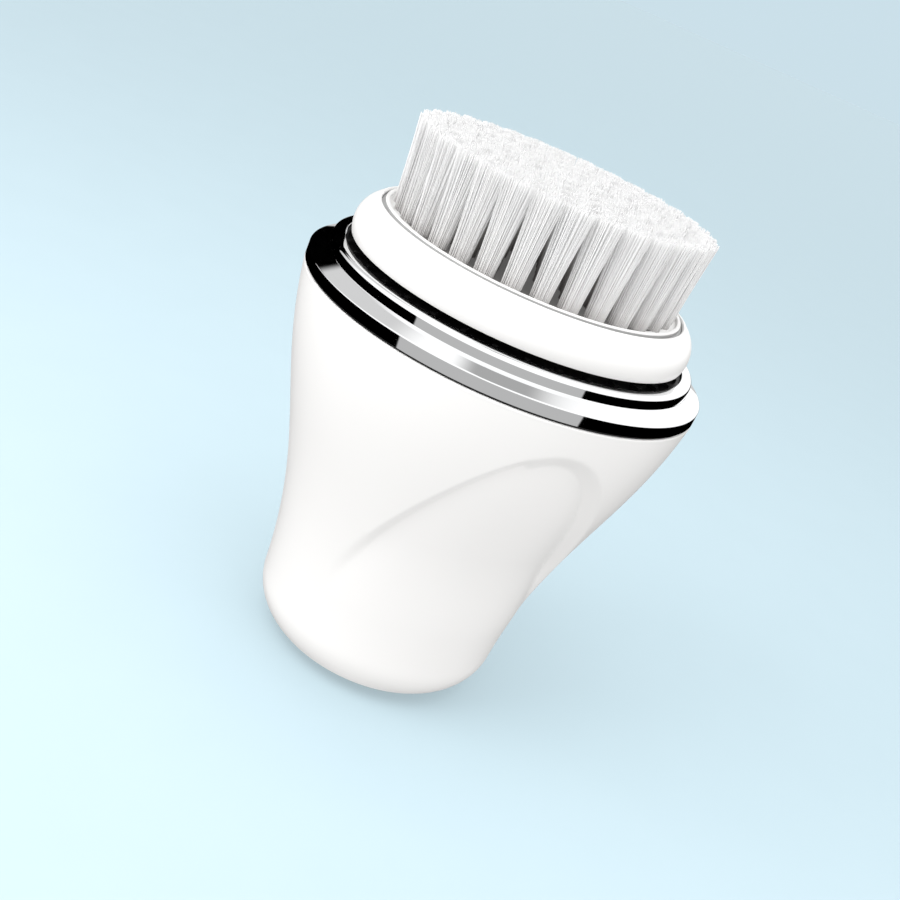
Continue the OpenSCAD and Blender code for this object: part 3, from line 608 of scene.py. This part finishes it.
def makeHeadShell():
    # a domed skirt round a floor with a hub, open below; the tuft plate sits in its top
    h = headShape
    wide = headHigh.x / mm
    hubLow = headLow.z / mm
    low = hubLow + h["skirtLift"]
    top = headHigh.z / mm
    section = []
    for i in range(h["arcSteps"] + 1):
        z = -h["bulgeHeight"] + (top - h["shoulder"] - low) * i / h["arcSteps"]
        bulge = math.sqrt(h["bulgeRadius"] ** 2 - z * z)
        section.append((wide - h["bulgeRadius"] + bulge, low + h["bulgeHeight"] + z))
    lastR, lastZ = section[-1]
    seatR = plateHigh.x / mm - h["seatInset"] + h["seatGap"]
    floorLow, floorTop = low + h["floor"], plateLow.z / mm
    insideR = wide - h["skirtWall"]
    edge = h["skirtEdge"]
    section.insert(0, (insideR + edge, low))
    section += [(lastR - inwards, lastZ + up) for inwards, up in h["shoulderRound"]]
    section += [(lastR - h["shoulderIn"], top), (seatR + h["seatEdge"], top), (seatR, top - h["seatEdge"]),
                (seatR, floorTop), (h["hubInner"], floorTop), (h["hubInner"], hubLow),
                (h["hubOuter"], hubLow), (h["hubOuter"], floorLow), (insideR, floorLow),
                (insideR, low + edge)]
    return revolve("headShell", inMetres(section), whiteGloss, evenTurns(h["segments"]), crease["plastic"])


# the shade and grey values place the painted shade on the plate: in the groove below the lip and between
# the tufts
plateShape = {
    "edge": 0.1, "lipInner": 1.0, "lipOuter": 0.4, "lipRound": 0.2, "lipFoot": 0.12,
    "grooveDepth": 0.75, "grooveEdges": (0.05, 0.08), "shadeHeight": 0.32, "shadeReach": 21.5,
    "shadeRing": (0.2, 0.4), "greyShare": 1.2, "paintAbove": 0.3, "segments": 256,
}


def makePlate():
    # a disc with a raised lip; the groove outside the lip is painted grey and the disc painted dark between
    # tufts, both as painted shade
    p = plateShape
    out = plateHigh.x / mm - headShape["seatInset"]
    low, lip = plateLow.z / mm, plateHigh.z / mm
    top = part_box("tufts_row_1")[0].z / mm
    groove = lip - p["grooveDepth"]
    lipOuter, lipInner, reach = out - p["lipOuter"], out - p["lipInner"], p["shadeReach"]
    grooveOut, grooveIn = p["grooveEdges"]
    shadeIn, shadeOut = p["shadeRing"]
    corners = [(0, low, 0), (out, low, p["edge"]), (out, groove, grooveOut), (lipOuter, groove, grooveIn),
               (lipOuter, lip, p["lipRound"]), (lipInner, lip, p["lipRound"]),
               (lipInner - p["edge"], top, p["lipFoot"]),
               (reach + shadeOut, top, 0), (reach - shadeIn, top, 0), (0, top, 0)]
    plate = revolve("tuftPlate", rounded(corners), whiteGloss, evenTurns(p["segments"]), crease["plastic"])
    plate.data.materials.append(paintedGrooveShade)
    plate.data.materials.append(paintedGapShade)
    # painted shade: the groove below the lip gets the grey material
    grooveFrom = (out - p["greyShare"] * p["lipOuter"]) * mm
    for face in plate.data.polygons:
        spot = face.center
        reachHere = math.hypot(spot.x, spot.y)
        if reachHere > grooveFrom and spot.z < (lip - p["shadeHeight"]) * mm:
            face.material_index = 1
        # painted shade: the plate top inside the tufts gets the dark material
        elif reachHere < reach * mm and spot.z > (low + p["paintAbove"]) * mm:
            face.material_index = 2
    return plate


place(makeHeadShell(), "brush_head", "head_shell", slot="white_gloss")
place(makePlate(), "brush_head", "tuft_plate", slot="white_gloss")
print("head made")


# tufts

tuftRows = {
    "rows": [
        {"node": "tufts_row_1", "tufts": 32, "filaments": 130},
        {"node": "tufts_row_2", "tufts": 26, "filaments": 100},
        {"node": "tufts_row_3", "tufts": 19, "filaments": 100},
        {"node": "tufts_row_4", "tufts": 13, "filaments": 100},
        {"node": "tufts_row_5", "tufts": 6, "filaments": 100},
        {"node": "tuft_middle", "tufts": 1, "filaments": 100},
    ],
    "rowRadius": 20.5, "rowPitch": 4.15, "footRadius": 1.40, "tipRadius": 2.2, "splay": 0.25,
    "filamentRadius": 0.085, "filamentSides": 3, "filamentRings": 6, "tousle": 0.12, "lengthSpread": 0.012,
    "curl": 1.25, "tuftTwist": 1.7, "seed": 11, "seedStep": 7,
}
goldenTurn = 2.39996  # radians, the sunflower's angle


def tuftTree():
    # one ring of tufts: each filament starts as a point, becomes a line, bends outwards, gets its sides
    tree = bpy.data.node_groups.new("tuftRow", "GeometryNodeTree")
    face = tree.interface
    sockets = {"Row Radius": "Float", "Tufts": "Int", "Filaments": "Int", "Foot Radius": "Float",
               "Tip Radius": "Float", "Length": "Float", "Length Spread": "Float",
               "Filament Radius": "Float", "Tousle": "Float", "Start Turn": "Float",
               "Base Height": "Float", "Splay": "Float", "Seed": "Int", "Material": "Material"}
    for name, kind in sockets.items():
        face.new_socket(name, in_out="INPUT", socket_type="NodeSocket" + kind)
    face.new_socket("Geometry", in_out="OUTPUT", socket_type="NodeSocketGeometry")
    given = tree.nodes.new("NodeGroupInput").outputs
    total = calc(tree, "MULTIPLY", given["Tufts"], given["Filaments"])
    index = addNode(tree, "GeometryNodeInputIndex").outputs[0]
    tuft = calc(tree, "FLOOR", calc(tree, "DIVIDE", calc(tree, "ADD", index, 0.5), given["Filaments"]))
    strand = calc(tree, "SUBTRACT", index, calc(tree, "MULTIPLY", tuft, given["Filaments"]))
    pitch = calc(tree, "DIVIDE", 2 * math.pi, given["Tufts"])
    turn = calc(tree, "ADD", calc(tree, "MULTIPLY", tuft, pitch), given["Start Turn"])
    # a sunflower layout fills each tuft evenly
    share = calc(tree, "SQRT", calc(tree, "DIVIDE", calc(tree, "ADD", strand, 0.5), given["Filaments"]))
    around = calc(tree, "ADD", calc(tree, "MULTIPLY", strand, goldenTurn),
                  calc(tree, "MULTIPLY", tuft, tuftRows["tuftTwist"]))

    def polar(radius, angle):
        x = calc(tree, "MULTIPLY", radius, calc(tree, "COSINE", angle))
        y = calc(tree, "MULTIPLY", radius, calc(tree, "SINE", angle))
        return addNode(tree, "ShaderNodeCombineXYZ", None, X=x, Y=y).outputs[0]

    def vec(operation, a, b):
        node = addNode(tree, "ShaderNodeVectorMath", {"operation": operation}, i0=a)
        target = node.inputs["Scale"] if operation == "SCALE" else node.inputs[1]
        if isinstance(b, bpy.types.NodeSocket):
            tree.links.new(b, target)
        else:
            target.default_value = b
        return node.outputs[0]

    def randomValue(low, high, offset, kind="FLOAT"):
        node = addNode(tree, "FunctionNodeRandomValue", {"data_type": kind})
        lowSlot, highSlot, outSlot = {"FLOAT": (2, 3, 1), "FLOAT_VECTOR": (0, 1, 0)}[kind]
        for slot, value in ((lowSlot, low), (highSlot, high)):
            if isinstance(value, bpy.types.NodeSocket):
                tree.links.new(value, node.inputs[slot])
            else:
                node.inputs[slot].default_value = value
        tree.links.new(calc(tree, "ADD", given["Seed"], offset), node.inputs["Seed"])
        return node.outputs[outSlot]

    def keep(geometry, label, value, kind):
        return addNode(tree, "GeometryNodeStoreNamedAttribute", {"data_type": kind, "domain": "POINT"},
                       Geometry=geometry, Name=label, Value=value).outputs[0]

    def recall(label, kind):
        return addNode(tree, "GeometryNodeInputNamedAttribute", {"data_type": kind}, Name=label).outputs[0]

    centre = polar(given["Row Radius"], turn)
    foot = vec("ADD", centre, polar(calc(tree, "MULTIPLY", share, given["Foot Radius"]), around))
    tip = vec("ADD", centre, polar(calc(tree, "MULTIPLY", share, given["Tip Radius"]), around))
    tip = vec("ADD", tip, polar(given["Splay"], turn))
    stray = vec("SCALE", randomValue((-1, -1, 0), (1, 1, 0), 1, "FLOAT_VECTOR"), given["Tousle"])
    lean = vec("ADD", vec("SUBTRACT", tip, foot), stray)
    points = addNode(tree, "GeometryNodePoints", None, Count=total, Position=foot).outputs[0]
    rise = calc(tree, "MULTIPLY", given["Length"],
                calc(tree, "SUBTRACT", 1.0, randomValue(0.0, given["Length Spread"], 2)))
    for label, value, kind in (("lean", lean, "FLOAT_VECTOR"), ("rise", rise, "FLOAT"),
                               ("tone", randomValue(0.0, 1.0, 3), "FLOAT")):
        points = keep(points, label, value, kind)
    line = addNode(tree, "GeometryNodeCurvePrimitiveLine", None, Start=(0, 0, 0), End=(0, 0, 1)).outputs[0]
    line = addNode(tree, "GeometryNodeResampleCurve", None, Curve=line,
                   Count=tuftRows["filamentRings"]).outputs[0]
    copies = addNode(tree, "GeometryNodeInstanceOnPoints", None, Points=points, Instance=line).outputs[0]
    strands = addNode(tree, "GeometryNodeRealizeInstances", None, Geometry=copies).outputs[0]
    spot = addNode(tree, "GeometryNodeInputPosition").outputs[0]
    height = addNode(tree, "ShaderNodeSeparateXYZ", None, Vector=spot).outputs["Z"]
    strands = keep(strands, "along", height, "FLOAT")
    bend = vec("SCALE", recall("lean", "FLOAT_VECTOR"), calc(tree, "POWER", height, tuftRows["curl"]))
    stretch = calc(tree, "SUBTRACT", recall("rise", "FLOAT"), 1.0)
    climb = calc(tree, "ADD", calc(tree, "MULTIPLY", height, stretch), given["Base Height"])
    lift = addNode(tree, "ShaderNodeCombineXYZ", None, Z=climb).outputs[0]
    moved = addNode(tree, "GeometryNodeSetPosition", None, Geometry=strands,
                    Offset=vec("ADD", bend, lift)).outputs[0]
    profile = addNode(tree, "GeometryNodeCurvePrimitiveCircle", None, Resolution=tuftRows["filamentSides"],
                      Radius=given["Filament Radius"]).outputs[0]
    solid = addNode(tree, "GeometryNodeCurveToMesh", None, Curve=moved, Profile_Curve=profile,
                    Fill_Caps=True).outputs[0]
    real = addNode(tree, "GeometryNodeRealizeInstances", None, Geometry=solid).outputs[0]
    finish = addNode(tree, "GeometryNodeSetMaterial", None, Geometry=real,
                     Material=given["Material"]).outputs[0]
    out = tree.nodes.new("NodeGroupOutput")
    tree.links.new(finish, out.inputs[0])
    return tree


def growFromTree(name, tree, values):
    # runs the tree once on an empty mesh and keeps the result as a plain mesh
    holder = bpy.data.objects.new(name, bpy.data.meshes.new(name))
    bpy.context.scene.collection.objects.link(holder)
    modifier = holder.modifiers.new(name, "NODES")
    modifier.node_group = tree
    for item in tree.interface.items_tree:
        if item.in_out == "INPUT" and item.name in values:
            modifier[item.identifier] = values[item.name]
    graph = bpy.context.evaluated_depsgraph_get()
    result = bpy.data.meshes.new_from_object(holder.evaluated_get(graph))
    holder.modifiers.remove(modifier)
    holder.data = result
    result.name = name
    return holder


tuftNodes = tuftTree()
for index, row in enumerate(tuftRows["rows"]):
    low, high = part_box(row["node"])
    radius = max(0.0, tuftRows["rowRadius"] - tuftRows["rowPitch"] * index)
    if row["tufts"] == 1:
        radius = 0.0
    piece = growFromTree(row["node"].replace("tuft", "bristle"), tuftNodes, {
        "Row Radius": radius * mm, "Tufts": row["tufts"], "Filaments": row["filaments"],
        "Foot Radius": tuftRows["footRadius"] * mm, "Tip Radius": tuftRows["tipRadius"] * mm,
        "Length": high.z - low.z, "Length Spread": tuftRows["lengthSpread"],
        "Filament Radius": tuftRows["filamentRadius"] * mm, "Tousle": tuftRows["tousle"] * mm,
        "Start Turn": index * math.pi / row["tufts"], "Base Height": low.z,
        "Splay": tuftRows["splay"] * mm * radius / tuftRows["rowRadius"],
        "Seed": tuftRows["seed"] + index * tuftRows["seedStep"], "Material": tuftNylon})
    place(piece, "brush_head", row["node"], slot="tuft_nylon")
    piece.visible_glossy = False  # keeps the plated collar free of specks
    print("tufts:", row["node"], len(piece.data.polygons), "faces")


# floor, light and camera

studio = {
    "floorColour": (0.50, 0.63, 0.69), "wallColour": (0.60, 0.745, 0.82), "floorSize": 300,
    "skyLow": 0.84, "skyHigh": 1.2, "skyReach": 60, "ceilingTone": 1.15,
    "lights": [
        {"name": "keyLight", "azimuth": -55, "rise": 40, "size": 6, "power": 0.3},
        {"name": "topLight", "azimuth": 10, "rise": 75, "size": 8, "power": 0.2},
    ],
    "lightReach": 9,
}
# what the plated collar mirrors, in degrees: from, to and the softness of the edges
mirrorRoom = {
    "horizon": (-3, 1.0),
    "windowTone": 0.50, "window": (-47, 58, 0.6),
    "backWindowTone": 0.62, "backWindow": (-15, 15, 0.8),
    "panelTone": 0.42, "panel": (-11, 29, 8), "panelRise": (42, 8),
    "silverTone": 0.68, "silverEdge": (-107, 17), "silverRise": (-90, 60, 5),
    "darkTone": 0.0, "dark": (-178.3, -124, 0.3), "darkRise": (-90, 30, 2),
}
camera = {"aimShare": 0.441, "heightShare": 1.311, "distanceShare": 5.55, "azimuth": 60.0, "roll": 24.46,
          "lens": 48.0, "aside": 0.011}


def makeFloor():
    size = rimRadius * studio["floorSize"]
    data = bpy.data.meshes.new("floor")
    corners = [(-size, -size, 0), (size, -size, 0), (size, size, 0), (-size, size, 0)]
    data.from_pydata(corners, [], [(0, 1, 2, 3)])
    floor = bpy.data.objects.new("floor", data)
    bpy.context.scene.collection.objects.link(floor)
    data.materials.append(plasticMaterial("floorPaint", studio["floorColour"], 0.8, 40, 0.0, 0.004, 0.1))
    floor.visible_glossy = False
    floor.visible_diffuse = False


def makeWorld():
    # three rooms in one: pale walls for the camera, a soft sky that lights the object, and for
    # mirrors a white room with dark lower walls, windows in them and grey panels above
    world = bpy.data.worlds.new("studio")
    bpy.context.scene.world = world
    world.use_nodes = True
    tree = world.node_tree
    ray = addNode(tree, "ShaderNodeTexCoord").outputs["Generated"]
    turned = addNode(tree, "ShaderNodeVectorRotate", {"rotation_type": "Z_AXIS"}, Vector=ray,
                     Angle=-math.radians(camera["azimuth"])).outputs[0]
    axes = addNode(tree, "ShaderNodeSeparateXYZ", None, Vector=turned).outputs

    def times(a, b):
        return calc(tree, "MULTIPLY", a, b)

    def step(value, edge, soft):
        return addNode(tree, "ShaderNodeMapRange", {"clamp": True, "interpolation_type": "SMOOTHSTEP"},
                       Value=value, i1=edge - soft, i2=edge + soft).outputs[0]

    def below(value, edge, soft):
        return calc(tree, "SUBTRACT", 1.0, step(value, edge, soft))

    def between(value, low, high, soft):
        return times(step(value, low, soft), below(value, high, soft))

    def mix(low, high, share):
        return calc(tree, "ADD", low, times(calc(tree, "SUBTRACT", high, low), share))

    # angles in degrees: round from the camera's side, round from the far side, and up from level
    degrees = 180 / math.pi
    azimuth = times(calc(tree, "ARCTAN2", axes["X"], times(axes["Y"], -1.0)), degrees)
    behind = times(calc(tree, "ARCTAN2", axes["X"], axes["Y"]), degrees)
    rise = times(calc(tree, "ARCSINE", axes["Z"]), degrees)
    m = mirrorRoom
    window = between(azimuth, *m["window"])
    lower = mix(mix(0.0, m["windowTone"], window), m["backWindowTone"], between(behind, *m["backWindow"]))
    panel = times(between(behind, *m["panel"]), step(rise, *m["panelRise"]))
    silver = times(below(azimuth, *m["silverEdge"]), between(rise, *m["silverRise"]))
    dark = times(between(azimuth, *m["dark"]), between(rise, *m["darkRise"]))
    upper = mix(studio["ceilingTone"], m["panelTone"], panel)
    upper = mix(upper, m["silverTone"], silver)
    upper = mix(upper, m["darkTone"], dark)
    mirror = mix(lower, upper, step(rise, *m["horizon"]))
    sky = mix(studio["skyLow"], studio["skyHigh"], step(rise, 0, studio["skyReach"]))
    path = addNode(tree, "ShaderNodeLightPath").outputs
    tone = mix(sky, mirror, path["Is Glossy Ray"])
    colour = addNode(tree, "ShaderNodeCombineColor", None, Red=tone, Green=tone, Blue=tone).outputs[0]
    pale = addNode(tree, "ShaderNodeMixRGB", None, Fac=path["Is Camera Ray"], Color1=colour,
                   Color2=(*studio["wallColour"], 1)).outputs[0]
    tree.links.new(pale, tree.nodes["Background"].inputs["Color"])


def makeLight(given):
    # azimuth is measured from the camera's side, positive to its right
    a = math.radians(given["azimuth"] + camera["azimuth"])
    e = math.radians(given["rise"])
    light = bpy.data.lights.new(given["name"], "AREA")
    light.size = given["size"] * rimRadius
    light.energy = given["power"]
    lamp = bpy.data.objects.new(given["name"], light)
    towards = Vector((math.sin(a) * math.cos(e), -math.cos(a) * math.cos(e), math.sin(e)))
    lamp.location = towards * rimRadius * studio["lightReach"] + Vector((0, 0, cadBox[1][2] / 2))
    lamp.rotation_euler = (-towards).to_track_quat("-Z", "Y").to_euler()
    lamp.visible_glossy = False
    bpy.context.scene.collection.objects.link(lamp)


def makeCamera():
    # shares are of the object's height, or of the rim's radius for the distance and aside
    data = bpy.data.cameras.new("camera")
    data.lens = camera["lens"]
    data.clip_start, data.clip_end = 0.01, 20
    eye = bpy.data.objects.new("camera", data)
    a = math.radians(camera["azimuth"])
    distance = camera["distanceShare"] * rimRadius
    tall = cadBox[1][2]
    eye.location = (math.sin(a) * distance, -math.cos(a) * distance, camera["heightShare"] * tall)
    aim = Vector((0, 0, camera["aimShare"] * tall))
    eye.rotation_mode = "QUATERNION"
    roll = Matrix.Rotation(math.radians(camera["roll"]), 4, "Z").to_quaternion()
    look = (aim - eye.location).to_track_quat("-Z", "Y")
    aim += look @ roll @ Vector((camera["aside"] * rimRadius, 0, 0))
    eye.rotation_quaternion = (aim - eye.location).to_track_quat("-Z", "Y") @ roll
    bpy.context.scene.collection.objects.link(eye)
    bpy.context.scene.camera = eye


makeFloor()
makeWorld()
for light in studio["lights"]:
    makeLight(light)
makeCamera()
bpy.context.scene.view_settings.view_transform = "Standard"
print("studio ready")
